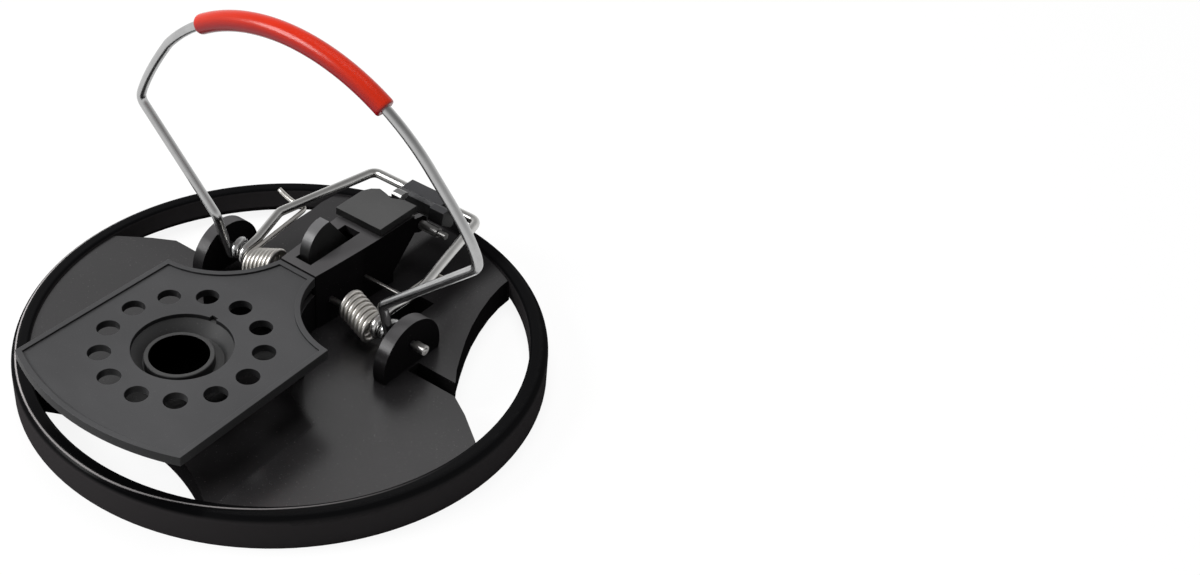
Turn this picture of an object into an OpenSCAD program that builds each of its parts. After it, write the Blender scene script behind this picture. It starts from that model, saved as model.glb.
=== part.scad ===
// Round-base snap mouse trap, shown set: a moulded ring base with a raised spine, a perforated
// trigger plate with a bait cup, a wire striker bail with a sleeve, a setting lever and two
// torsion springs on one cross axle. Origin: centre of the ring on the ground, +Z up, the
// trigger plate towards -Y, the setting lever towards +Y.

/* [Base ring] */

// Outside diameter of the ring
ring_d = 130; // [126:1:136]
// Height of the ring
ring_h = 8.9; // [8.6:0.1:9.4]
// Width of the ring's top
rim_w = 4.4; // [4:0.1:5]
// Wall thickness of the ring's skirts
skirt_t = 1.0; // [0.9:0.1:1.2]

/* [Web] */

// Thickness of the flat web plates
web_t = 1.8; // [1.6:0.1:2.2]
// How far the web lies below the rim
web_drop = 1.0; // [0.8:0.1:1.2]
// Wall thickness of the ribs along the openings
rib_t = 1.4; // [1.2:0.1:1.6]

/* [Spine] */

// Height of the spine's top
spine_h = 23.8; // [23.6:0.1:24.2]
// Wall thickness of the spine
spine_t = 1.5; // [1.4:0.1:1.5]
// Thickness of the spine's top
spine_top_t = 2.0; // [1.8:0.1:2]
// Thickness of the cover plate's slab
cover_t = 2.0; // [1.8:0.1:2.2]

/* [Axle and wires] */

// Distance of the axle behind the ring's centre
axle_y = 12.25; // [12:0.05:12.4]
// Height of the axle
axle_z = 14.55; // [14.4:0.05:14.7]
// Diameter of the axle
axle_d = 1.7; // [1.6:0.05:1.8]
// Radial running clearance of every pivot
run_gap = 0.05; // [0.03:0.01:0.08]
// Diameter of the striker and lever wire
wire_d = 2.45; // [2.3:0.05:2.5]
// Outside diameter of the striker's sleeve
sleeve_d = 4.9; // [4.6:0.1:5]
// Radius of the striker's dome
dome_r = 55.3; // [54.8:0.1:55.6]

/* [Trigger] */

// Height of the trigger plate's top
pedal_h = 23.5; // [23.3:0.1:23.8]
// Thickness of the trigger plate
pedal_t = 2.4; // [2.2:0.1:2.6]
// Radius of the trigger plate's front edge
pedal_r = 64.2; // [63.8:0.1:64.4]
// Diameter of the scent holes
hole_d = 5.6; // [5:0.1:5.8]
// Number of scent holes
hole_count = 13; // [9:1:13]
// Diameter of the bait recess
recess_d = 24; // [23:0.5:24]
// Diameter of the bait tube's hole
bait_d = 14.1; // [13.5:0.1:14.3]

/* [Springs] */

// Diameter of the spring wire
spring_wire = 1.22; // [1.1:0.02:1.22]
// Mean diameter of the coils
coil_d = 7.4; // [7.2:0.1:7.6]

/* [Hidden] */

$fn = 48;
ring_r = ring_d / 2;
rim_in = ring_r - rim_w;
web_top = ring_h - web_drop;
web_bot = web_top - web_t;
rib_bot = 1.2;
bait_y = -31.3;
bait_ring_r = 19;
pedal_bot = pedal_h - pedal_t;
axle_r = axle_d / 2;
wire_r = wire_d / 2;
eye_r = axle_r + wire_r;
eye_pitch = wire_d + 0.15;
ear_in = 28.6;
ear_out = 32;
ear_r = 10.1;
ear_y = axle_y - 0.05;
ear_z = axle_z - 4.25;
// trigger pivot, trip cam pivot and catch pivot, as [y, z]
trig_y = 8.8;
trig_z = pedal_h - 4.8;
cam_y = 24;
cam_z = 15.2;
catch_y = 44.5;
catch_z = 20.1;
trig_pin_r = 1.0;
rod_r = 0.5;
catch_pin_r = 1.25;
press = 0.01;
hair = 0.012;
tuck = 0.08;
// spine's side: half width along its length
spine_side = [[5.7, 7.45], [6.1, 12], [6.6, 20], [7.1, 30], [7.2, 42]];
// edges of the web beside the open quarters of the base
wing_edge = [[32.5, 10.2], [46.7, 10.2], [48.9, 8.9], [52.5, 6.8], [59.6, 1.6], [66, -3.5]];
right_edge = [[27.6, 62], [28.4, 53.7], [28.6, 50], [29.5, 44.9], [31.2, 38.8], [33.2, 33.2],
    [35.5, 28.1], [38.2, 22.9], [41, 17.9], [43.8, 14], [32.5, 14]];
left_edge = [[-27, 62], [-29.6, 53.7], [-30.1, 48.1], [-29.7, 43.5], [-29.6, 25.4], [-32.5, 22.4],
    [-32.5, 10.2]];
well_in = 13.5;
well_out = 20.6;
well_front = 22;
well_back = 34;

function unit(v) = v / norm(v);
function rev(v) = [for (i = [len(v) - 1:-1:0]) v[i]];
function flip(v) = [for (p = rev(v)) [-p[0], p[1]]];
function mir(p) = [-p[0], p[1], p[2]];
// a polyline moved sideways by d, to its left
function shift(v, d) = [for (i = [0:len(v) - 1])
    let (a = unit(v[min(i + 1, len(v) - 1)] - v[min(i + 1, len(v) - 1) - 1]),
        b = unit(v[max(i, 1)] - v[max(i, 1) - 1]),
        m = unit([-a[1] - b[1], a[0] + b[0]]))
    v[i] + m * d / max(0.5, m * [-b[1], b[0]])];

// places a shape drawn along +Z from the origin so that it runs from p to q
module along(p, q) {
    d = q - p;
    l = norm(d);
    z = d / l;
    s = abs(z[2]) > 0.9 ? [1, 0, 0] : [0, 0, 1];
    x = unit(cross(s, z));
    y = cross(z, x);
    multmatrix([[x[0], y[0], z[0], p[0]], [x[1], y[1], z[1], p[1]], [x[2], y[2], z[2], p[2]],
        [0, 0, 0, 1]])
        children();
}

// part of a ring about c that starts at direction a and turns towards b
module arc(c, a, b, radius, turn, r) {
    n = cross(a, b);
    multmatrix([[a[0], b[0], n[0], c[0]], [a[1], b[1], n[1], c[1]], [a[2], b[2], n[2], c[2]],
        [0, 0, 0, 1]])
        rotate_extrude(angle = turn)
            translate([radius, 0])
                circle(r = r);
}

// round wire of radius r through the points, with the bend radii at the inner ones
module wire(pts, bends, r) {
    n = len(pts);
    turn = [for (i = [0:n - 1]) i == 0 || i == n - 1 ? 0 :
        acos(unit(pts[i] - pts[i - 1]) * unit(pts[i + 1] - pts[i]))];
    cut = [for (i = [0:n - 1]) bends[i] * tan(turn[i] / 2)];
    for (i = [0:n - 2]) {
        u = unit(pts[i + 1] - pts[i]);
        p = pts[i] + u * cut[i];
        q = pts[i + 1] - u * cut[i + 1];
        if (norm(q - p) > 0.05)
            along(p, q)
                cylinder(r = r, h = norm(q - p));
    }
    // each bend is a hair thinner and ends just inside the straight runs beside it
    for (i = [1:n - 2]) {
        u = unit(pts[i] - pts[i - 1]);
        v = unit(pts[i + 1] - pts[i]);
        w = unit(v - u * (u * v));
        e = tuck / bends[i] * 180 / PI;
        arc(pts[i] - u * cut[i] + w * bends[i], -w * cos(e) - u * sin(e),
            u * cos(e) - w * sin(e), bends[i], turn[i] + 2 * e, r - hair);
    }
}

// bar along X
module bar(y, z, x0, x1, r) {
    translate([x0, y, z])
        rotate([0, 90, 0])
            cylinder(r = r, h = x1 - x0);
}

// plate drawn in Y and Z, from x0 to x1
module side_plate(x0, x1) {
    translate([x0, 0, 0])
        rotate([90, 0, 90])
            linear_extrude(x1 - x0)
                children();
}

module slab(z0, z1) {
    translate([0, 0, z0])
        linear_extrude(z1 - z0)
            children();
}

/* ---- base ---- */

module ring_section() {
    fillet = 2.2;
    crown = 0.9;
    difference() {
        union() {
            translate([rim_in + crown, 0])
                square([ring_r - rim_in - crown, ring_h - fillet]);
            translate([rim_in, 3.4])
                square([ring_r - rim_in, ring_h - fillet - 3.4]);
            translate([rim_in + crown, ring_h - fillet - 0.01])
                square([ring_r - rim_in - crown - fillet, fillet + 0.01]);
            translate([rim_in, ring_h - fillet - 0.01])
                square([crown, fillet - crown + 0.01]);
            translate([ring_r - fillet, ring_h - fillet])
                circle(r = fillet);
            translate([rim_in + crown, ring_h - crown])
                circle(r = crown);
        }
        translate([rim_in + skirt_t + 0.3, -1])
            square([ring_r - rim_in - 2 * skirt_t - 0.3, ring_h - 1.6 + 1]);
        translate([rim_in - 1, -1])
            square([skirt_t + 2, 4.4]);
    }
}

module web_gaps() {
    polygon(concat(right_edge, wing_edge, [[80, 62]]));
    polygon(concat(left_edge, flip(rev(wing_edge)), [[-80, 62]]));
    for (s = [-1, 1])
        scale([s, 1])
            translate([well_in, well_front])
                square([well_out - well_in, well_back - well_front]);
}

module web_plan() {
    difference() {
        circle(r = rim_in + 0.6, $fn = 96);
        intersection() {
            circle(r = rim_in + 0.5, $fn = 96);
            union() {
                web_gaps();
                translate([0, -98.4])
                    circle(r = 53.3, $fn = 96);
            }
        }
        spine_room();
    }
}

module spine_outline(d) {
    side = [for (p = spine_side) [p[0] - d, p[1]]];
    polygon(concat(side, flip(side)));
}

module spine_room() {
    side = [for (p = spine_side) [p[0] - spine_t, p[1]]];
    translate([0, -0.5])
        polygon(concat([[side[0][0], 6]], side, [[side[3][0], 36]],
            [[-side[3][0], 36]], flip(side), [[-side[0][0], 6]]));
}

module rib_band(edge, w) {
    slab(rib_bot, web_bot + 0.3)
        intersection() {
            polygon(concat(edge, rev(shift(edge, w))));
            circle(r = rim_in + 0.8, $fn = 96);
        }
}

module spine_shell() {
    side_in = [for (p = spine_side) [p[0] - spine_t, p[1]]];
    difference() {
        slab(rib_bot, spine_h)
            spine_outline(0);
        translate([0, 0, rib_bot - 1])
            linear_extrude(spine_h - spine_top_t - rib_bot + 1)
                polygon(concat([[side_in[0][0], 6]], side_in, [[side_in[4][0], 44]],
                    [[-side_in[4][0], 44]], flip(side_in), [[-side_in[0][0], 6]]));
        // slot for the trip cam
        slab(spine_h - spine_top_t - 1, spine_h + 1)
            translate([-3.3, 10])
                square([5, 17.9]);
        // cut back under the tail of the spine
        side_plate(-9, 9)
            polygon([[34.2, 10.9], [42.2, 18.6], [44, 18.6], [44, 0], [34.2, 0]]);
    }
}

module flare(s) {
    scale([s, 1, 1])
        difference() {
            intersection() {
                translate([27, 11, web_bot])
                    difference() {
                        cylinder(r = 23.2, h = 17.9 - web_bot, $fn = 96);
                        translate([0, 0, -1])
                            cylinder(r = 22, h = 20, $fn = 96);
                    }
                translate([3, -9.4, web_bot - 1])
                    cube([13, 17.1, 20]);
            }
        }
}

module ear(s) {
    scale([s, 1, 1])
        intersection() {
            bar(ear_y, ear_z, ear_in, ear_out, ear_r);
            translate([ear_in - 1, ear_y - ear_r - 1, rib_bot])
                cube([ear_out - ear_in + 2, 2 * ear_r + 2, 30]);
        }
}

module pin_lug(s) {
    scale([s, 1, 1])
        difference() {
            union() {
                side_plate(7.2 - spine_t, 7.2)
                    polygon([[40.5, 18.6], [42.2, 18.6], [catch_y, catch_z - 2.3],
                        [catch_y, catch_z + 2.3], [40.5, spine_h - 0.6]]);
                bar(catch_y, catch_z, 7.2 - spine_t, 7.2, 2.3);
            }
        }
}

module base_frame() {
    color([0.16, 0.16, 0.17])
        difference() {
            union() {
                rotate_extrude($fn = 128)
                    ring_section();
                slab(web_bot, web_top)
                    web_plan();
                rib_band(right_edge, -rib_t);
                rib_band(wing_edge, -rib_t);
                rib_band(left_edge, rib_t);
                rib_band(flip(rev(wing_edge)), -rib_t);
                // rib behind the front opening
                intersection() {
                    slab(rib_bot, web_bot + 0.3)
                        circle(r = rim_in + 0.8, $fn = 96);
                    translate([0, -98.4, 0])
                        difference() {
                            cylinder(r = 53.3 + rib_t, h = 9, $fn = 96);
                            translate([0, 0, -1])
                                cylinder(r = 53.3, h = 12, $fn = 96);
                        }
                }
                // ribs round the wells behind the coils
                for (s = [-1, 1])
                    scale([s, 1, 1])
                        slab(rib_bot, web_bot + 0.3)
                            difference() {
                                translate([well_in - rib_t, well_front - rib_t])
                                    square([well_out - well_in + 2 * rib_t,
                                        well_back - well_front + 2 * rib_t]);
                                translate([well_in, well_front])
                                    square([well_out - well_in, well_back - well_front]);
                            }
                spine_shell();
                for (s = [-1, 1]) {
                    flare(s);
                    ear(s);
                    pin_lug(s);
                }
            }
            // bores of the axle, the trigger pin, the cam rod and the catch pin
            bar(axle_y, axle_z, -40, 40, axle_r + run_gap);
            bar(trig_y, trig_z, -5.2, 5.2, trig_pin_r - press);
            bar(cam_y, cam_z, -6, 9, rod_r - press);
            bar(catch_y, catch_z, -9, 9, catch_pin_r - press);
            // the spine's hollow stays open below
            translate([0, 0, rib_bot - 1])
                linear_extrude(web_top - rib_bot + 2)
                    spine_room();
        }
}

module spine_cover() {
    color([0.28, 0.28, 0.29])
        union() {
            slab(spine_h + 0.9, spine_h + 0.9 + cover_t)
                polygon([[-7.3, 29], [7.3, 29], [7.3, 42.6], [3.3, 42.5], [0.3, 41],
                    [-2.1, 41.8], [-4.5, 42.3], [-6.2, 40.9], [-7.3, 38.7]]);
            slab(spine_h, spine_h + 0.95)
                polygon([[-6.4, 30.8], [6.4, 30.8], [6.4, 41.4], [3.4, 41.3], [0.4, 39.8],
                    [-2.1, 40.6], [-4.3, 41.1], [-5.4, 40.2], [-6.4, 38.3]]);
        }
}

/* ---- trigger ---- */

module pedal_plan(d) {
    difference() {
        intersection() {
            circle(r = pedal_r - d, $fn = 128);
            polygon([[-27.4 + d, -66], [27.4 - d, -66], [26.3 - d, -10.8 - d], [18, 7.15 - d],
                [-18, 7.15 - d], [-26.3 + d, -10.8 - d]]);
        }
        for (s = [-1, 1])
            translate([s * 27, 11])
                circle(r = 21.65 + d, $fn = 96);
    }
}

module trigger_plate() {
    border = 1.4;
    color([0.3, 0.3, 0.31])
        difference() {
            union() {
                slab(pedal_bot, pedal_h - 0.5)
                    pedal_plan(0);
                slab(pedal_h - 0.6, pedal_h)
                    difference() {
                        pedal_plan(0);
                        pedal_plan(border);
                    }
                // arm down to the pivot and the tail that lifts the cam
                side_plate(-3.7, 3.7)
                    polygon([[-1, pedal_bot + 0.2], [6.9, pedal_bot + 0.2], [8.8, trig_z + 2.35],
                        [8.8, trig_z - 2.35], [6.6, trig_z - 1.7], [-1, pedal_bot - 0.8]]);
                bar(trig_y, trig_z, -3.7, 3.7, 2.4);
                translate([-2.2, trig_y, trig_z - 2.8])
                    cube([4.4, 9.1, 1.1]);
            }
            bar(trig_y, trig_z, -9, 9, trig_pin_r + run_gap);
            translate([0, bait_y, pedal_bot - 1])
                cylinder(d = recess_d, h = pedal_t + 2, $fn = 72);
            translate([-2.9, bait_y + recess_d / 2 - 1, pedal_bot - 1])
                cube([1.8, 1.7, pedal_t + 2]);
            for (i = [0:hole_count - 1])
                translate([bait_ring_r * sin(i * 360 / hole_count),
                    bait_y + bait_ring_r * cos(i * 360 / hole_count), pedal_bot - 1])
                    cylinder(d = hole_d, h = pedal_t + 2, $fn = 32);
        }
}

module bait_cup() {
    seat_r = recess_d / 2 - 0.05;
    lip_r = bait_d / 2 + 1.45;
    tube_r = bait_d / 2 + 1.1;
    lip = pedal_h - 3;
    floor_top = pedal_h - 6.4;
    color([0.14, 0.14, 0.15])
        translate([0, bait_y, 0])
            rotate_extrude($fn = 72)
                polygon([[0, floor_top - 1], [tube_r - 1, floor_top - 1], [tube_r, floor_top],
                    [tube_r, lip - 1.5],
                    [seat_r + 0.6, pedal_bot - 1.1], [recess_d / 2 + 3.2, pedal_bot - 1.1],
                    [recess_d / 2 + 3.2, pedal_bot], [seat_r, pedal_bot],
                    [seat_r, pedal_h - 1.5], [lip_r, lip], [bait_d / 2, lip],
                    [bait_d / 2, floor_top], [0, floor_top]]);
}

module trigger_pin() {
    color([0.6, 0.6, 0.62])
        bar(trig_y, trig_z, -5.2, 5.2, trig_pin_r);
}

/* ---- trip cam and catch ---- */

module trip_cam() {
    color([0.33, 0.33, 0.34])
        difference() {
            union() {
                intersection() {
                    side_plate(-2.8, 0.2)
                        translate([18, 24.4])
                            circle(r = 7, $fn = 72);
                    side_plate(-3, 1)
                        polygon([[10, 16], [19.2, 16], [26.4, 21], [18.5, 31.4], [18.5, 33],
                            [10, 33]]);
                }
                side_plate(-2.8, 0.2)
                    polygon([[18.8, 17.6], [21.8, cam_z - 0.9], [cam_y, cam_z - 2.2],
                        [32.2, cam_z - 0.3], [32.2, cam_z + 0.9], [26, cam_z + 1.4], [25.6, 21.4],
                        [24.4, 23.6], [20, 24]]);
                bar(cam_y, cam_z, -2.8, 0.2, 2.3);
            }
            bar(cam_y, cam_z, -9, 9, rod_r + run_gap);
        }
}

module cam_rod() {
    color([0.7, 0.7, 0.72])
        bar(cam_y, cam_z, -6, 18, rod_r);
}

module catch_hook() {
    color([0.66, 0.66, 0.67])
        difference() {
            union() {
                side_plate(-2.5, 0.5)
                    polygon([[44.4, catch_z], [44.4, 25], [44.9, 25.5], [46.7, 25.5],
                        [47.4, 25.1], [47.5, 24.4], [46.9, 23.9], [46.2, 23.9],
                        [46.4, catch_z]]);
                side_plate(-2.5, 2.5)
                    polygon([[31, 14.1], [33.4, 14.1], [43.4, catch_z + 0.9],
                        [45.4, catch_z - 1.7], [33.6, 12.5], [31, 12.5]]);
                bar(catch_y, catch_z, -2.5, 2.5, 2);
            }
            bar(catch_y, catch_z, -9, 9, catch_pin_r + run_gap);
        }
}

module catch_pin() {
    color([0.75, 0.75, 0.76])
        union() {
            bar(catch_y, catch_z, -8, 13, catch_pin_r);
            bar(catch_y, catch_z, 12.5, 15.4, 0.85);
        }
}

/* ---- striker ---- */

module axle() {
    color([0.72, 0.72, 0.73])
        union() {
            bar(axle_y, axle_z, -35, 35, axle_r);
            for (s = [-1, 1])
                scale([s, 1, 1])
                    difference() {
                        bar(axle_y, axle_z, 33, 36, 1.25);
                        translate([36.2, axle_y, axle_z])
                            sphere(r = 0.75);
                    }
        }
}

// lean of the tangent from a bend at [y, z] to the front or the top of the eye
function lean(y, z) = let (v = [axle_y - y, axle_z - z])
    atan2(v[0], -v[1]) - asin(eye_r / norm(v));
function reach(y, z) = let (v = [axle_y - y, axle_z - z])
    90 - atan2(-v[1], -v[0]) + asin(eye_r / norm(v));

foot = [27.1, 7.0, 26.5];
foot_lean = lean(foot[1], foot[2]);
foot_down = [0, sin(foot_lean), -cos(foot_lean)];
foot_out = [0, -cos(foot_lean), -sin(foot_lean)];
eye_x = 27;
foot_end = [eye_x, axle_y, axle_z] + foot_out * eye_r;
shoulder = [52.35, 7.1, 50.6];
apex = [0, 5.7, shoulder[2] + 123.4];

knee = [23.8, 25.7, 19.4];
knee_ang = reach(knee[1], knee[2]);
knee_in = [0, -sin(knee_ang), -cos(knee_ang)];
knee_up = [0, -cos(knee_ang), sin(knee_ang)];
hook_x = 21.95;
hook_top = [hook_x, axle_y, axle_z] + knee_up * eye_r;
hook_run = hook_top - knee_in * 4;
corner = [17.1, 54.6, 20.1];

// a turn of wire about the axle: starts at x0 in direction a, runs towards b
module eye(x0, a, b, halves, last, pitch) {
    tilt = atan2(pitch / 4, eye_r);
    radius = norm([pitch / 4, eye_r]);
    e = tuck / radius * 180 / PI;
    for (i = [0:halves - 1]) {
        sgn = i % 2 == 0 ? 1 : -1;
        av = [sin(tilt), 0, 0] + cos(tilt) * sgn * a;
        arc([x0 - pitch / 4 - i * pitch / 2, axle_y, axle_z],
            av * cos(e) - sgn * b * sin(e), sgn * b * cos(e) + av * sin(e), radius,
            (i == halves - 1 ? last : 180) + e, wire_r - hair * (i + 1));
    }
}

module striker_bail() {
    pts = [foot_end, foot, shoulder, apex, mir(shoulder), mir(foot), mir(foot_end)];
    color([0.7, 0.7, 0.71])
        union() {
            wire(pts, [0, 3, 3.5, dome_r, 3.5, 3, 0], wire_r);
            for (s = [-1, 1])
                scale([s, 1, 1])
                    eye(eye_x, foot_out, foot_down, 2, 175, eye_pitch);
        }
}

module dome_part(r, half) {
    u = unit(apex - shoulder);
    up = unit([0, apex[1] - shoulder[1], apex[2] - shoulder[2]]);
    centre = [0, apex[1], apex[2]] - up * dome_r / sin(acos(u * up));
    a = [sin(half), 0, 0] + up * cos(half);
    b = [-cos(half), 0, 0] + up * sin(half);
    arc(centre, a, b, dome_r, 2 * half, r);
}

module striker_sleeve() {
    half = asin(28.1 / dome_r);
    color([0.85, 0.2, 0.12])
        difference() {
            dome_part(sleeve_d / 2, half);
            dome_part(wire_r - press, half + 1);
        }
}

module setting_lever() {
    pts = [hook_top, hook_run, knee, corner, mir(corner), mir(knee), mir(hook_run),
        mir(hook_top)];
    color([0.7, 0.7, 0.71])
        union() {
            wire(pts, [0, 8, 4, 2.6, 2.6, 4, 8, 0], wire_r);
            for (s = [-1, 1])
                scale([s, 1, 1])
                    eye(hook_x, knee_up, knee_in, 1, 178, 0);
        }
}

module lever_pad() {
    color([0.2, 0.2, 0.21])
        difference() {
            union() {
                side_plate(-5, 8)
                    polygon([[50.4, 18.4], [50.4, 21.6], [51.4, 22.5], [55.6, 22.5], [57, 21.3],
                        [57, 18.2], [56.2, 17.4], [51.2, 17.4]]);
                side_plate(7.5, 12)
                    polygon([[46.7, 20.6], [47.4, 23.8], [49.4, 23.9], [51.4, 22.6], [51.4, 18.6],
                        [50.2, 18.2]]);
            }
            bar(corner[1], corner[2], -20, 20, wire_r - press);
        }
}

/* ---- springs: one unbroken tube swept along a path of [point, reference] pairs ---- */

coil_r = coil_d / 2;
coil_x0 = 20;
coil_x1 = 11.8;
turns = 5;
rings = 8;
tilt_y = -0.12;
tilt_z = -0.38;
mid_x = (coil_x0 + coil_x1) / 2;

function coil_c(x) = [x, axle_y + tilt_y * (x - mid_x), axle_z + tilt_z * (x - mid_x)];
// t from 0 to 1: from the outer end at the top, over the front, down and back
function coil_p(t) = let (a = 360 * turns * t, x = coil_x0 + (coil_x1 - coil_x0) * t)
    coil_c(x) + coil_r * [0, -sin(a), cos(a)];
function coil_ref(t) = let (a = 360 * turns * t) [0, -sin(a), cos(a)];
leg_z = corner[2] - wire_r - spring_wire / 2 - 0.5;
leg_end = [21.2, 31.6, leg_z];
leg_mid = [21.5, 33.2, leg_z];
// outer ends of the legs: the left one rises, the right one is short
tip_left = [31, 33.1, leg_z + 1.7];
tip_right = [25.1, 33.2, leg_z];
function bez(a, b, c, t) = (1 - t) * (1 - t) * a + 2 * t * (1 - t) * b + t * t * c;
stub_end = [7, coil_p(1)[1] - 1.6, coil_p(1)[2] + 0.5];

function spring_path(tip) = concat(
    [for (t = [0, 0.18, 0.35, 0.55, 0.75]) [bez(tip, (tip + leg_mid) / 2 - [0, 0, tip[2] - leg_z],
        leg_mid + [2, 0, 0], t), [0, 0, 1]]],
    [for (t = [0:0.25:1]) [bez(leg_mid + [1.9, 0, 0], leg_mid, leg_end - [0, 0.4, 0], t),
        [0, 0, 1]]],
    [for (t = [0.25, 0.5, 0.75, 0.94]) [leg_end + (coil_p(0) - leg_end) * t, [0, 0, 1]]],
    [for (i = [0:turns * rings]) [coil_p(i / (turns * rings)), coil_ref(i / (turns * rings))]],
    [for (t = [0.35, 0.7, 1]) [bez(coil_p(1), coil_p(1) + [-0.2, -1.6, -0.1],
        stub_end + [3, 0, -0.2], t), [0, 0, 1]]],
    [[stub_end, [0, 0, 1]]]);

// least gap of the coil to itself, from the points of neighbouring turns
gap_all = [for (i = [0:turns * rings - 1]) for (j = [i + rings - 2:min(i + rings + 2,
    turns * rings)]) norm(coil_p(i / (turns * rings)) - coil_p(j / (turns * rings)))];
echo(least_gap = min(gap_all) - spring_wire);

module tube(path, r) {
    n = len(path);
    m = 6;
    pts = [for (i = [0:n - 1])
        let (t = unit(path[min(i + 1, n - 1)][0] - path[max(i - 1, 0)][0]),
            s = path[i][1],
            u = unit(s - t * (s * t)),
            v = cross(t, u))
        for (k = [0:m - 1]) path[i][0] + r * (u * cos(360 * k / m) + v * sin(360 * k / m))];
    side = [for (i = [0:n - 2]) for (k = [0:m - 1]) let (a = i * m + k, b = i * m + (k + 1) % m)
        each [[a, b + m, b], [a, a + m, b + m]]];
    polyhedron(pts, concat(side, [[for (k = [0:m - 1]) k]],
        [[for (k = [m - 1:-1:0]) (n - 1) * m + k]]));
}

module right_spring() {
    color([0.78, 0.77, 0.74])
        tube(spring_path(tip_right), spring_wire / 2);
}

module left_spring() {
    color([0.78, 0.77, 0.74])
        mirror([1, 0, 0])
            tube(spring_path(tip_left), spring_wire / 2);
}

base_frame();
spine_cover();
trigger_plate();
bait_cup();
trigger_pin();
trip_cam();
cam_rod();
catch_hook();
catch_pin();
axle();
striker_bail();
striker_sleeve();
setting_lever();
lever_pad();
left_spring();
right_spring();
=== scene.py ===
"""Looks of a round-base snap mouse trap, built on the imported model."""
import math

import bpy
from mathutils import Matrix, Vector


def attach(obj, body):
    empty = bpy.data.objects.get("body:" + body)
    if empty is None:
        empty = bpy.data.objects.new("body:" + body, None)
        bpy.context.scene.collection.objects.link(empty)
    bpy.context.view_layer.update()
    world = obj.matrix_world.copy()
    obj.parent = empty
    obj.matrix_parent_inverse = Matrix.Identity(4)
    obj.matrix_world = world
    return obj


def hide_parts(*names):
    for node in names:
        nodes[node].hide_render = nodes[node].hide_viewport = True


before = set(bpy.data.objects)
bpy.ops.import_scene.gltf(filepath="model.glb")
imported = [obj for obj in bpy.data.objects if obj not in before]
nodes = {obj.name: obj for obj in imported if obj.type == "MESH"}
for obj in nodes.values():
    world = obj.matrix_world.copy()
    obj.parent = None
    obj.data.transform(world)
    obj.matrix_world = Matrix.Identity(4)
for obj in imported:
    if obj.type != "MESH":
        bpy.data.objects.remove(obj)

scene = bpy.context.scene
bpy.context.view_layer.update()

# the shape code is written in millimetres, and meshes and materials are in metres
MM_PER_METRE = 1000


# ---- camera ----

CAMERA_PLACE = (0.24862, -0.24761, 0.28922)
CAMERA_RIGHT = (0.7228, 0.6904, -0.0301)
CAMERA_BACK = (0.5625, -0.5625, 0.6060)
SENSOR_WIDTH, FOCAL_LENGTH = 36, 55.5
# the trap stands in the left part of a frame of 1200 columns, round column 280
FRAME_COLUMNS, TRAP_COLUMN = 1200, 280
CLIP_NEAR, CLIP_FAR = 0.01, 20


def make_camera():
    data = bpy.data.cameras.new("camera")
    cam = bpy.data.objects.new("camera", data)
    scene.collection.objects.link(cam)
    back = Vector(CAMERA_BACK).normalized()
    up = back.cross(Vector(CAMERA_RIGHT).normalized()).normalized()
    right = up.cross(back)
    turn = Matrix((right, up, back)).transposed().to_4x4()
    cam.matrix_world = Matrix.Translation(CAMERA_PLACE) @ turn
    data.sensor_width = SENSOR_WIDTH
    data.lens = FOCAL_LENGTH
    data.shift_x = (FRAME_COLUMNS / 2 - TRAP_COLUMN) / FRAME_COLUMNS
    data.clip_start = CLIP_NEAR
    data.clip_end = CLIP_FAR
    scene.camera = cam


# ---- shader maths ----

class Sock:
    """A node's output that takes part in sums like a number."""

    def __init__(self, net, out):
        self.net = net
        self.out = out

    def __add__(self, other):
        return self.net.maths("ADD", self, other)

    def __radd__(self, other):
        return self.net.maths("ADD", other, self)

    def __sub__(self, other):
        return self.net.maths("SUBTRACT", self, other)

    def __rsub__(self, other):
        return self.net.maths("SUBTRACT", other, self)

    def __mul__(self, other):
        return self.net.maths("MULTIPLY", self, other)

    def __pow__(self, other):
        return self.net.maths("POWER", self, other)

    def clamp(self):
        """The same value, kept between 0 and 1."""
        return self.net.maths("ADD", self, 0.0, True)


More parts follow.
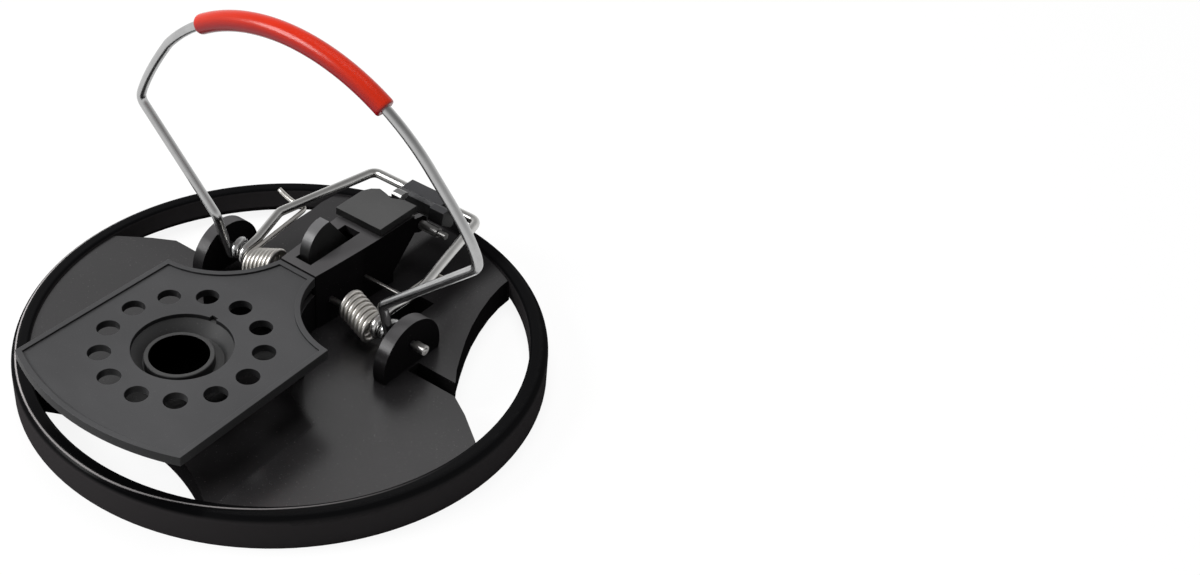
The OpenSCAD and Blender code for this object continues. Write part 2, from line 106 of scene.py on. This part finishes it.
class Net:
    """The node tree of one material, or of the room's light."""

    def __init__(self, owner):
        owner.use_nodes = True
        self.owner = owner
        self.tree = owner.node_tree
        self.tree.nodes.clear()
        self.coords = self.node("ShaderNodeTexCoord").outputs
        self.place = self.coords["Object"]

    def node(self, kind, settings=None, **inputs):
        """A new node; an input's name is written with underscores for its spaces."""
        made = self.tree.nodes.new(kind)
        for key, value in (settings or {}).items():
            setattr(made, key, value)
        for key, value in inputs.items():
            self.feed(made.inputs[key.replace("_", " ")], value)
        return made

    def feed(self, socket, value):
        if isinstance(value, Sock):
            value = value.out
        if isinstance(value, bpy.types.NodeSocket):
            self.tree.links.new(value, socket)
        else:
            socket.default_value = value

    def maths(self, kind, a, b, limited=False):
        made = self.node("ShaderNodeMath", {"operation": kind, "use_clamp": limited})
        self.feed(made.inputs[0], a)
        self.feed(made.inputs[1], b)
        return Sock(self, made.outputs[0])

    def span(self, value, low, high):
        """0 where value is below low and 1 where it is above high, with a soft rise between."""
        made = self.node("ShaderNodeMapRange", {"interpolation_type": "SMOOTHSTEP"},
                         Value=value, From_Min=low, From_Max=high)
        return Sock(self, made.outputs[0])

    def mix(self, share, a, b):
        """Colour a turning into colour b."""
        made = self.node("ShaderNodeMix", {"data_type": "RGBA"})
        self.feed(made.inputs[0], share)
        self.feed(made.inputs[6], a)
        self.feed(made.inputs[7], b)
        return Sock(self, made.outputs[2])

    def stretched(self, x, y, z):
        """The place in the piece, with its three axes scaled for a drawn-out pattern."""
        made = self.node("ShaderNodeVectorMath", {"operation": "MULTIPLY"})
        self.feed(made.inputs[0], self.place)
        self.feed(made.inputs[1], (x, y, z))
        return made.outputs[0]

    def noise(self, scale, detail, rough=0.5, at=None):
        made = self.node("ShaderNodeTexNoise", None, Vector=at or self.place, Scale=scale,
                         Detail=detail, Roughness=rough)
        return Sock(self, made.outputs[0])

    def axis(self, which):
        """One axis of the place in the piece, in metres: 0 for x, 1 for y, 2 for z."""
        made = self.node("ShaderNodeSeparateXYZ", None, Vector=self.place)
        return Sock(self, made.outputs[which])

    def facing(self, low, high):
        """1 on surfaces that look up in the piece's own frame, 0 on its sides."""
        made = self.node("ShaderNodeSeparateXYZ", None, Vector=self.coords["Normal"])
        return self.span(made.outputs[2], low, high)

    def reach(self, y=0.0):
        """Distance from an upright line that stands on the middle line at y, in metres."""
        across = self.axis(0)
        along = self.axis(1) - y
        return (across * across + along * along) ** 0.5

    def bump(self, height, depth, strength, onto=None):
        made = self.node("ShaderNodeBump", None, Height=height, Distance=depth,
                         Strength=strength)
        if onto is not None:
            self.feed(made.inputs["Normal"], onto)
        return made.outputs[0]

    def rounded(self, radius):
        """The surface direction as if its edges were rounded."""
        return self.node("ShaderNodeBevel", {"samples": 4}, Radius=radius).outputs[0]

    def blend(self, share, a, b):
        """Shader a turning into shader b."""
        made = self.node("ShaderNodeMixShader", None, Fac=share)
        self.feed(made.inputs[1], a)
        self.feed(made.inputs[2], b)
        return made.outputs[0]

    def seen(self):
        """1 for what the camera, a reflection or glass shows, 0 for what only lights."""
        path = self.node("ShaderNodeLightPath").outputs
        seen = self.maths("MAXIMUM", path["Is Camera Ray"], path["Is Glossy Ray"])
        return self.maths("MAXIMUM", seen, path["Is Transmission Ray"])

    def done(self, **inputs):
        """Closes a material with one surface shader that takes the given inputs."""
        shader = self.node("ShaderNodeBsdfPrincipled", None, **inputs)
        self.node("ShaderNodeOutputMaterial", None, Surface=shader.outputs[0])
        return self.owner


def srgb(r, g, b):
    """A colour of 0 to 255 per part, as the shaders take it."""
    return tuple((c / 12.92 if c <= 0.04045 else ((c + 0.055) / 1.055) ** 2.4)
                 for c in (r / 255, g / 255, b / 255)) + (1.0,)


def scaled(tone, share):
    """A lighter or darker version of a colour."""
    return tuple(min(1, c * share) for c in tone[:3]) + (1,)


# ---- finishes ----

BLACK = (0, 0, 0, 1)
DUST = srgb(130, 128, 126)
EDGE_ROUNDING = 0.00025
COAT_ROUGH, COAT_IOR = 0.26, 1.9

# the bait tube: the cup's middle, how far forward of it the tube stands, and where its bore ends
BAIT_Y = -0.0313
TUBE_SHIFT = 0.0011
BORE_EDGE = (0.0071, 0.00718)

# zones of the base; each pair says where a zone fades in or out, in metres
RING_FROM = (0.0603, 0.0607)
RAISED_FROM = (0.0155, 0.017)
# where the painted highlight on the ring's front edge fades in and out
HIGHLIGHT_FROM, HIGHLIGHT_UNTIL = (0.06345, 0.06375), (0.0638, 0.0641)
# the painted highlight fades out away from this direction, and runs further in on the right
HIGHLIGHT_WAY, HIGHLIGHT_WAY_FROM = (-0.55, -0.83), (-0.03, 0.06)
HIGHLIGHT_DRIFT, HIGHLIGHT_DRIFT_FROM = 0.0022, (0.005, 0.05)
REAR_FROM = (-0.01, 0.03)
LEFT_FROM = (0.0, 0.03)
# under the trigger plate: its right side and its rear run a little askew
PLATE_LEFT = (0.0, 0.008)
PLATE_RIGHT, PLATE_RIGHT_SLOPE = (0.0275, 0.0295), 0.046
PLATE_REAR, PLATE_REAR_SLOPE = (-0.009, -0.006), 0.396
# painted shadow of the spine and its cover, on the web to its right
SPINE_SHADOW_LEFT, SPINE_SHADOW_RIGHT, SPINE_SHADOW_FRONT = (0.0, 0.003), (0.020, 0.027), (0.021, 0.025)


def moulded(name, top, side, rough, grain=0.00002, gloss=0.3, zone=None, sheen=0.0):
    """Dark moulded plastic: grain, faint flow marks and dust, with a lit tone painted on its
    tops and a shaded tone painted on its sides.
    """
    net = Net(bpy.data.materials.new(name))
    flow = net.noise(28, 3, at=net.stretched(1, 1.6, 0.4))
    fine = net.noise(5200, 2, 0.6)
    cloud = net.noise(160, 4, 0.6)
    specks = net.span(net.noise(2600, 1, 0.4), 0.72, 0.78)
    colour = net.mix(net.span(flow, 0.3, 0.7), scaled(top, 0.88), scaled(top, 1.12))
    # painted light and shade: tops take the lit top tone, sides the shaded side tone
    colour = net.mix(net.facing(0.25, 0.85), side, colour)
    colour = net.mix(specks * 0.2, colour, DUST)
    dull = rough + (cloud - 0.5) * 0.12 + (flow - 0.5) * 0.08
    metal = 0.0
    # slopes have a third of the gloss that level tops have
    polish = (net.facing(0.15, 0.5) * 0.3 + net.facing(0.85, 0.98) * 0.7) * sheen
    if zone:
        colour, dull, metal, polish = zone(net, colour, dull, polish)
    normal = net.bump(fine, grain, 0.6, net.rounded(EDGE_ROUNDING))
    return net.done(Base_Color=colour, Roughness=dull.clamp(), Metallic=metal,
                    Specular_IOR_Level=gloss, Normal=normal, Coat_Weight=polish.clamp(),
                    Coat_Roughness=COAT_ROUGH, Coat_IOR=COAT_IOR)


def base_zone(net, colour, dull, polish):
    """The ring is painted darker than the web within it: painted shade on its top, painted light
    greying its outer side, and a painted highlight along its front edge.

    The spine's and the ears' tops are greyer. The web has less gloss towards the rear and the
    left, and hardly any under the trigger plate and in the corner by the spine, where the web
    also carries a painted shadow of the spine.
    """
    x, y, z = net.axis(0), net.axis(1), net.axis(2)
    far = net.reach()
    ring = net.span(far, *RING_FROM)
    raised = net.span(z, *RAISED_FROM) * net.facing(0.4, 0.9)
    # painted light and shade on the ring: near black on its top, grey on its outer side
    ring_lit_and_shaded = net.mix(net.facing(0.1, 0.6), srgb(52, 50, 51), srgb(10, 10, 11))
    colour = net.mix(raised, colour, srgb(74, 73, 74))
    colour = net.mix(ring, colour, ring_lit_and_shaded)
    # a painted highlight: a pale line on the ring's front edge where a lamp would glint
    front = net.span(x * HIGHLIGHT_WAY[0] + y * HIGHLIGHT_WAY[1], *HIGHLIGHT_WAY_FROM)
    edge = far + net.span(x, *HIGHLIGHT_DRIFT_FROM) * HIGHLIGHT_DRIFT
    line = net.span(edge, *HIGHLIGHT_FROM) * (1 - net.span(edge, *HIGHLIGHT_UNTIL)) * front
    line = line * net.facing(0.2, 0.5)
    colour = net.mix(line * 0.8, colour, srgb(176, 172, 172))
    under = 1 - net.span(x + y * PLATE_RIGHT_SLOPE, *PLATE_RIGHT)
    under = under * (1 - net.span(y + x * PLATE_REAR_SLOPE, *PLATE_REAR))
    under = under * net.span(x, *PLATE_LEFT)
    spine_shadow = net.span(y, *SPINE_SHADOW_FRONT) * (1 - net.span(x, *SPINE_SHADOW_RIGHT))
    spine_shadow = spine_shadow * net.span(x, *SPINE_SHADOW_LEFT) * (1 - raised)
    # painted shadow: the web by the spine darkened where the spine's shadow falls
    colour = net.mix(spine_shadow * 0.6, colour, srgb(12, 11, 12))
    for zone, loss in ((net.span(y, *REAR_FROM), 0.5), (under, 0.9), (spine_shadow, 0.9),
                       (net.span(x * -1.0, *LEFT_FROM), 0.3), (ring, 0.88), (raised, 0.7)):
        polish = polish * (1 - zone * loss)
    return colour, dull, 0.0, polish


def bait_zone(net, colour, dull, polish):
    """The bait tube's bore is painted dead black as painted shade, without a gloss of its own.
    """
    painted_bore_shade = 1 - net.span(net.reach(BAIT_Y - TUBE_SHIFT), *BORE_EDGE)
    return net.mix(painted_bore_shade, colour, BLACK), dull + painted_bore_shade * 0.5, painted_bore_shade, polish


def steel(name, tone, rough, streak=(1, 1, 1), stains=1.0, grain=0.000003):
    """Drawn or turned steel: fine lines along streak's small axis, soft stains, fine pits."""
    net = Net(bpy.data.materials.new(name))
    lines = net.noise(2400, 2, 0.6, at=net.stretched(*streak))
    stain = net.noise(190, 4, 0.6)
    pits = net.noise(5200, 2, 0.5)
    low, high = scaled(tone, 1 - 0.2 * stains), scaled(tone, 1.06)
    colour = net.mix(net.span(stain, 0.28, 0.72), low, high)
    colour = net.mix(net.span(lines, 0.55, 0.8) * (0.3 * stains), colour, srgb(120, 116, 110))
    dull = rough + (stain - 0.5) * (0.2 * stains) + (lines - 0.5) * (0.16 * stains)
    normal = net.bump(lines + pits * 0.5, grain, 0.4)
    return net.done(Base_Color=colour, Metallic=1.0, Roughness=dull.clamp(), Normal=normal)


def wire_steel(name, tone, rough, stains):
    """Smooth plated wire."""
    return steel(name, tone, rough, stains=stains, grain=0.0000004)


def soft_tube(name, tone):
    """Smooth soft tube with a slight waviness and rubbed patches, painted deeper red below as
    painted shade.
    """
    net = Net(bpy.data.materials.new(name))
    wave = net.noise(120, 2, 0.5)
    rub = net.noise(90, 4, 0.65)
    colour = net.mix(net.span(rub, 0.3, 0.75), scaled(tone, 0.9), tone)
    # painted shade: the tube's lower side turns a deeper red
    colour = net.mix(net.facing(-0.3, 0.7), srgb(150, 12, 22), colour)
    dull = 0.22 + (wave - 0.5) * 0.06
    return net.done(Base_Color=colour, Roughness=dull.clamp(), Specular_IOR_Level=0.25)


def finish_nodes():
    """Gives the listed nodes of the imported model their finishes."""
    along_x, across = (0.05, 1, 1), (1, 0.1, 0.1)
    finish = {
        # each moulded finish takes a lit tone for tops and a shaded tone for sides: painted
        # light and shade
        "base_frame": moulded("base_black", srgb(37, 36, 37), srgb(27, 26, 27), 0.6,
                              gloss=0.0, zone=base_zone, sheen=1.0),
        "spine_cover": moulded("cover_grey", srgb(67, 67, 67), srgb(12, 12, 12), 0.5,
                               grain=0.00003, gloss=0.2),
        "trigger_plate": moulded("plate_grey", srgb(64, 64, 65), srgb(28, 28, 29), 0.52,
                                 grain=0.00003, gloss=0.2),
        "bait_cup": moulded("cup_grey", srgb(62, 62, 62), srgb(40, 40, 41), 0.48,
                            gloss=0.2, zone=bait_zone),
        "trip_cam": moulded("cam_grey", srgb(88, 88, 89), srgb(5, 5, 5), 0.42, sheen=0.25),
        "lever_pad": moulded("pad_black", srgb(52, 52, 54), srgb(17, 17, 18), 0.42, gloss=0.2),
        "trigger_pin": steel("pin_steel", srgb(170, 168, 165), 0.35),
        "cam_rod": steel("rod_steel", srgb(134, 132, 130), 0.42, along_x),
        "catch_hook": steel("catch_steel", srgb(160, 160, 160), 0.45),
        "catch_pin": steel("catch_pin_steel", srgb(126, 125, 124), 0.42, across),
        "axle": steel("axle_steel", srgb(180, 178, 176), 0.34, along_x),
        "striker_bail": wire_steel("bail_steel", srgb(178, 178, 178), 0.24, 0.3),
        "setting_lever": wire_steel("lever_steel", srgb(192, 191, 189), 0.26, 0.3),
        "striker_sleeve": soft_tube("sleeve_red", srgb(192, 40, 16)),
    }
    for name, material in finish.items():
        data = nodes[name].data
        data.materials.clear()
        data.materials.append(material)


def node_finish(name):
    return nodes[name].data.materials[0]


# ---- shape helpers, in millimetres ----

# edges that turn by more than this stay sharp
SHARP_FROM = math.radians(35)

def bow(a, b, c, t):
    """A point of the soft bend from a to c that is drawn towards b; t runs from 0 to 1."""
    return (1 - t) * (1 - t) * a + 2 * t * (1 - t) * b + t * t * c


def cubic(a, b, c, d, count):
    """The curve from a to d that is drawn towards b and c, in count steps."""
    return [a * (1 - t) ** 3 + b * 3 * t * (1 - t) ** 2 + c * 3 * t * t * (1 - t) + d * t ** 3
            for t in (i / count for i in range(count + 1))]


def bent(before, corner, after, radius):
    """A soft corner of the given bend radius."""
    come, go = (before - corner).normalized(), (after - corner).normalized()
    cut = radius / math.tan(come.angle(go) / 2)
    return [bow(corner + come * cut, corner, corner + go * cut, i / 8) for i in range(9)]


def mirrored(path):
    """The same path on the other side of the trap."""
    return [Vector((-p.x, p.y, p.z)) for p in path]


def new_piece(name, verts, faces):
    mesh = bpy.data.meshes.new(name)
    mesh.from_pydata(verts, [], faces)
    made = bpy.data.objects.new(name, mesh)
    scene.collection.objects.link(made)
    return made


def tube(name, path, radius, sides):
    """A round tube swept along path, with its own closed ends.

    radius is one number, or one for each point of the path.
    """
    verts, faces = [], []
    normal = Vector((0, 0, 1))
    count = len(path)
    radii = radius if isinstance(radius, list) else [radius] * count
    for i, p in enumerate(path):
        way = (path[min(i + 1, count - 1)] - path[max(i - 1, 0)]).normalized()
        normal = (normal - way * normal.dot(way)).normalized()
        across = way.cross(normal)
        for k in range(sides):
            a = 2 * math.pi * k / sides
            point = p + radii[i] * (math.cos(a) * normal + math.sin(a) * across)
            verts.append(point / MM_PER_METRE)
    for i in range(count - 1):
        for k in range(sides):
            a, b = i * sides + k, i * sides + (k + 1) % sides
            faces.append((a, b, b + sides, a + sides))
    faces.append(tuple(range(sides - 1, -1, -1)))
    faces.append(tuple((count - 1) * sides + k for k in range(sides)))
    made = new_piece(name, verts, faces)
    for polygon in made.data.polygons:
        polygon.use_smooth = len(polygon.vertices) == 4
    made.data.update()
    return made


def revolved(name, outline, y, sides):
    """A closed outline of (radius, height) turned about an upright line on the middle line."""
    verts, faces = [], []
    count = len(outline)
    for k in range(sides):
        a = 2 * math.pi * k / sides
        verts += [(r * math.cos(a) / MM_PER_METRE, (y + r * math.sin(a)) / MM_PER_METRE,
                   z / MM_PER_METRE) for r, z in outline]
    for k in range(sides):
        here, there = k * count, (k + 1) % sides * count
        faces += [(here + i, there + i, there + (i + 1) % count, here + (i + 1) % count)
                  for i in range(count)]
    made = new_piece(name, verts, faces)
    made.data.shade_smooth()
    made.data.set_sharp_from_angle(angle=SHARP_FROM)
    return made


# ---- springs ----

AXLE = Vector((0, 12.25, 14.55))
COIL_R, COIL_TURNS, STEPS_PER_TURN = 3.45, 6.5, 28
COIL_OUTER_X, COIL_INNER_X = 20.0, 12.0
# the coil's middle leans off the axle by this much per millimetre outwards
COIL_LEAN_Y, COIL_LEAN_Z = 0.12, 0.38
SPRING_WIRE_R, SPRING_SIDES = 0.61, 14
LEG_Z = 17.765


def coil_point(t):
    """A point of the coil; t runs from 0 at its outer end to 1 at its inner one."""
    a = 2 * math.pi * COIL_TURNS * t
    x = COIL_OUTER_X + (COIL_INNER_X - COIL_OUTER_X) * t
    off = x - (COIL_OUTER_X + COIL_INNER_X) / 2
    return Vector((x, AXLE.y - COIL_LEAN_Y * off - COIL_R * math.sin(a),
                   AXLE.z - COIL_LEAN_Z * off + COIL_R * math.cos(a)))


def spring_path(tip):
    """From the free tip round the lever's wire, along the leg, through the coil to its stub."""
    leg_end = Vector((21.2, 31.6, LEG_Z))
    leg_mid = Vector((21.5, 33.2, LEG_Z))
    sag = (tip + leg_mid) / 2
    sag.z = LEG_Z - (tip.z - LEG_Z) / 2
    first, last = coil_point(0), coil_point(1)
    stub = Vector((7, last.y + 1.6, last.z - 0.3))
    path = [bow(tip, sag, leg_mid + Vector((2, 0, 0)), i / 10) for i in range(10)]
    path += [bow(leg_mid + Vector((1.9, 0, 0)), leg_mid, leg_end - Vector((0, 0.4, 0)), i / 8)
             for i in range(9)]
    path += [leg_end.lerp(first, i / 12) for i in range(1, 12)]
    steps = int(COIL_TURNS * STEPS_PER_TURN)
    path += [coil_point(i / steps) for i in range(steps + 1)]
    path += [bow(last, last + Vector((-0.2, 1.6, 0)), stub + Vector((3, 0, 0)), i / 8)
             for i in range(1, 9)]
    return path + [stub]


def spring_pair():
    """The two wound springs; the left one's tip sticks out further and higher."""
    finish = wire_steel("spring_wire", srgb(206, 203, 198), 0.42, 0.15)
    right = spring_path(Vector((25.1, 33.2, LEG_Z)))
    left = mirrored(spring_path(Vector((31, 33.1, 19.4))))
    for node, path in (("right_spring", right), ("left_spring", left)):
        made = tube("wound_" + node, path, SPRING_WIRE_R, SPRING_SIDES)
        made.data.materials.append(finish)
        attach(made, "striker")
        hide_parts(node)
        node + "_steel"


# ---- striker ----

WIRE_R, WIRE_SIDES = 1.225, 16
EYE_R = 2.075
# the striker's plane: its y at the shoulders' height, and its lean over its own length
SHOULDER_Y, SHOULDER_Z = 7.1, 50.6
PLANE_LEAN, PLANE_LENGTH = 1.4, 123.4
# the dome is a part of this circle
DOME_R, DOME_Z, DOME_STEPS = 55.3, 32.4, 24
# the eye: where it stands on the axle, the pitch and the steps of one turn, and its lean
EYE_X, EYE_PITCH, EYE_STEPS = 27, 2.6, 32.5
EYE_LEAN = math.radians(14.57)
FOOT = Vector((27.1, 7, 26.5))
FOOT_BEND, FLANK_STEPS = 3, 14


def striker_plane(x, z):
    """A point of the striker's leaning plane."""
    return Vector((x, SHOULDER_Y - PLANE_LEAN * (z - SHOULDER_Z) / PLANE_LENGTH, z))


def half_striker(shoulder, flank):
    """From the eye on the axle up to the top of the dome; flank is the dome's lower stretch."""
    out = Vector((0, -math.cos(EYE_LEAN), -math.sin(EYE_LEAN)))
    down = Vector((0, math.sin(EYE_LEAN), -math.cos(EYE_LEAN)))
    path = []
    for i in range(int(EYE_STEPS), 0, -1):
        a = 2 * math.pi * i / EYE_STEPS
        turn = out * (EYE_R * math.cos(a)) + down * (EYE_R * math.sin(a))
        path.append(Vector((EYE_X - EYE_PITCH * i / EYE_STEPS, AXLE.y, AXLE.z)) + turn)
    end = Vector((EYE_X, AXLE.y, AXLE.z)) + out * EYE_R
    path += [end.lerp(FOOT, i / 6) for i in range(4)]
    path += bent(end, FOOT, shoulder, FOOT_BEND)
    path += bent(FOOT, shoulder, flank[0], FOOT_BEND)
    path += flank
    first = math.atan2(flank[-1].z - DOME_Z, flank[-1].x)
    for i in range(1, DOME_STEPS + 1):
        a = first + (math.pi / 2 - first) * i / DOME_STEPS
        path.append(striker_plane(DOME_R * math.cos(a), DOME_Z + DOME_R * math.sin(a)))
    return path


def striker_wire():
    """One bent wire; its right shoulder stands a little further out than its left one."""
    plane = striker_plane
    flank = cubic(plane(53.6, 53.4), plane(51, 59.2), plane(45.8, 64.2), plane(41.1, 69.4),
                  FLANK_STEPS)
    right = half_striker(plane(54.5, 50.7), flank)
    flank = cubic(plane(51.2, 53.3), plane(48.6, 58.8), plane(44.7, 64.6), plane(40.1, 70.5),
                  FLANK_STEPS)
    left = mirrored(half_striker(plane(52.35, 50.6), flank))
    made = tube("formed_striker_wire", right + left[-2::-1], WIRE_R, WIRE_SIDES)
    made.data.materials.append(node_finish("striker_bail"))
    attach(made, "striker")
    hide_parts("striker_bail")


SLEEVE_R, SLEEVE_HALF, SLEEVE_STEPS, SLEEVE_SIDES = 2.45, 28.1, 64, 32
# the rounding of its ends: how far in, and how much thinner there
END_STEPS, END_CUTS = (0, 0.1, 0.3, 0.7), (0.5, 0.2, 0.06, 0)


def sleeve():
    """The soft sleeve, with rounded ends."""
    half = math.asin(SLEEVE_HALF / DOME_R)
    marks = [-half + d / DOME_R for d in END_STEPS]
    marks += [-half + 2 * half * i / SLEEVE_STEPS for i in range(1, SLEEVE_STEPS)]
    marks += [half - d / DOME_R for d in reversed(END_STEPS)]
    end = [SLEEVE_R - d for d in END_CUTS]
    radii = end + [SLEEVE_R] * (SLEEVE_STEPS - 1) + end[::-1]
    path = [striker_plane(DOME_R * math.sin(a), DOME_Z + DOME_R * math.cos(a)) for a in marks]
    made = tube("soft_sleeve", path, radii, SLEEVE_SIDES)
    made.data.materials.append(node_finish("striker_sleeve"))
    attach(made, "striker")
    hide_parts("striker_sleeve")


# ---- setting lever ----

HOOK_X = 21.95
HOOK_RISE, HOOK_SWEEP, HOOK_STEPS = math.radians(78.51), math.radians(178), 14
RUN_LENGTH = 4
KNEE, CORNER = Vector((23.8, 25.7, 19.4)), Vector((17.1, 54.6, 20.1))
RUN_BEND, KNEE_BEND, CORNER_BEND = 8, 4, 2.6


def lever_wire():
    """One bent wire that hooks over the axle at both of its ends."""
    axle = Vector((HOOK_X, AXLE.y, AXLE.z))
    inward = Vector((0, -math.sin(HOOK_RISE), -math.cos(HOOK_RISE)))
    up = Vector((0, -math.cos(HOOK_RISE), math.sin(HOOK_RISE)))
    path = []
    for i in range(HOOK_STEPS, 0, -1):
        a = HOOK_SWEEP * i / HOOK_STEPS
        path.append(axle + up * (EYE_R * math.cos(a)) + inward * (EYE_R * math.sin(a)))
    top = axle + up * EYE_R
    run = top - inward * RUN_LENGTH
    path.append(top)
    path += bent(top, run, KNEE, RUN_BEND)
    path += bent(run, KNEE, CORNER, KNEE_BEND)
    path += bent(KNEE, CORNER, mirrored([CORNER])[0], CORNER_BEND)
    path += mirrored(reversed(path))
    made = tube("formed_lever_wire", path, WIRE_R, WIRE_SIDES)
    made.data.materials.append(node_finish("setting_lever"))
    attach(made, "striker")
    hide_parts("setting_lever")


# ---- bait cup ----

# radius and height: the tube's closed underside, the cup's outer slope and rim, its inner
# slope, the trench, the tube's rim and its bore
CUP_OUTLINE = [
    (0.02, 16.1), (7.15, 16.1), (8.15, 17.1), (8.6, 17.7), (9.8, 17.7), (12.3, 20.8),
    (15.1, 20.8), (15.1, 21.85), (11.93, 21.85), (11.93, 22.0), (9.5, 18.6), (8.25, 18.6),
    (8.25, 21.1), (8.1, 21.3), (7.2, 21.3), (7.05, 21.15), (7.05, 17.1), (0.02, 17.1)]
CUP_SIDES = 96
# all of the outline within this radius belongs to the tube, in metres
TUBE_REACH = 0.009


def bait_cup():
    """The cup with its tube, set a little forward, and the trench that runs round it."""
    made = revolved("trenched_bait_cup", CUP_OUTLINE, BAIT_Y * MM_PER_METRE, CUP_SIDES)
    for vertex in made.data.vertices:
        if math.hypot(vertex.co.x, vertex.co.y - BAIT_Y) < TUBE_REACH:
            vertex.co.y -= TUBE_SHIFT
    made.data.materials.append(node_finish("bait_cup"))
    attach(made, "trigger")
    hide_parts("bait_cup")


# ---- floor and light ----

FLOOR_HALF, FLOOR_DROP = 3, 0.0001
# the floor's tone for light that bounces off it, and its plain white as it is seen
FLOOR_BOUNCE, FLOOR_WHITE, FLOOR_GLOW = (0.5, 0.5, 0.5, 1), (0.95, 0.95, 0.95, 1), 0.9
WHITE = (1, 1, 1, 1)
LAMP_AIM = (0, 0, 0.02)
# the room's light, the tone of its walls and ceiling, and the height where one becomes the other
ROOM_FILL, WALL_TONE, CEILING_TONE = 0.25, 1.0, 0.3
WALL_END, CEILING_RISE = 0.15, 0.7


def floor():
    """A plain white floor that keeps the trap's shadow."""
    half = FLOOR_HALF
    made = new_piece("floor", [(-half, -half, 0), (half, -half, 0), (half, half, 0),
                               (-half, half, 0)], [(0, 1, 2, 3)])
    made.location.z = -FLOOR_DROP
    net = Net(bpy.data.materials.new("floor_white"))
    lit = net.node("ShaderNodeBsdfDiffuse", None, Color=FLOOR_BOUNCE).outputs[0]
    plain = net.node("ShaderNodeBsdfDiffuse", None, Color=FLOOR_WHITE).outputs[0]
    glow = net.node("ShaderNodeEmission", None, Color=WHITE, Strength=1.0).outputs[0]
    both = net.blend(net.seen(), lit, net.blend(FLOOR_GLOW, plain, glow))
    net.node("ShaderNodeOutputMaterial", None, Surface=both)
    made.data.materials.append(net.owner)


def lamp(name, place, size, power, mirrored_too=True):
    """A round soft lamp that looks at the trap."""
    data = bpy.data.lights.new(name, "AREA")
    data.shape = "DISK"
    data.size = size
    data.energy = power
    made = bpy.data.objects.new(name, data)
    made.visible_glossy = mirrored_too
    scene.collection.objects.link(made)
    made.location = place
    way = Vector(LAMP_AIM) - Vector(place)
    made.rotation_euler = way.to_track_quat("-Z", "Y").to_euler()


def light():
    """Two lamps, in a room that is white at eye level and greyer towards the ceiling."""
    lamp("key", (-0.08, 0.10, 0.72), 0.5, 4.0, mirrored_too=False)
    lamp("side", (-0.45, -0.49, 0.45), 0.4, 5.2)
    scene.world = bpy.data.worlds.new("room")
    net = Net(scene.world)
    split = net.node("ShaderNodeSeparateXYZ", None, Vector=net.coords["Generated"])
    up = ((Sock(net, split.outputs[2]) - WALL_END) * (1 / CEILING_RISE)).clamp()
    fill, wall, ceiling = (
        net.node("ShaderNodeBackground", None, Color=WHITE, Strength=strength).outputs[0]
        for strength in (ROOM_FILL, WALL_TONE, CEILING_TONE))
    both = net.blend(net.seen(), fill, net.blend(up, wall, ceiling))
    net.node("ShaderNodeOutputWorld", None, Surface=both)
    scene.view_settings.view_transform = "Standard"


make_camera()
finish_nodes()
spring_pair()
striker_wire()
sleeve()
lever_wire()
bait_cup()
floor()
light()
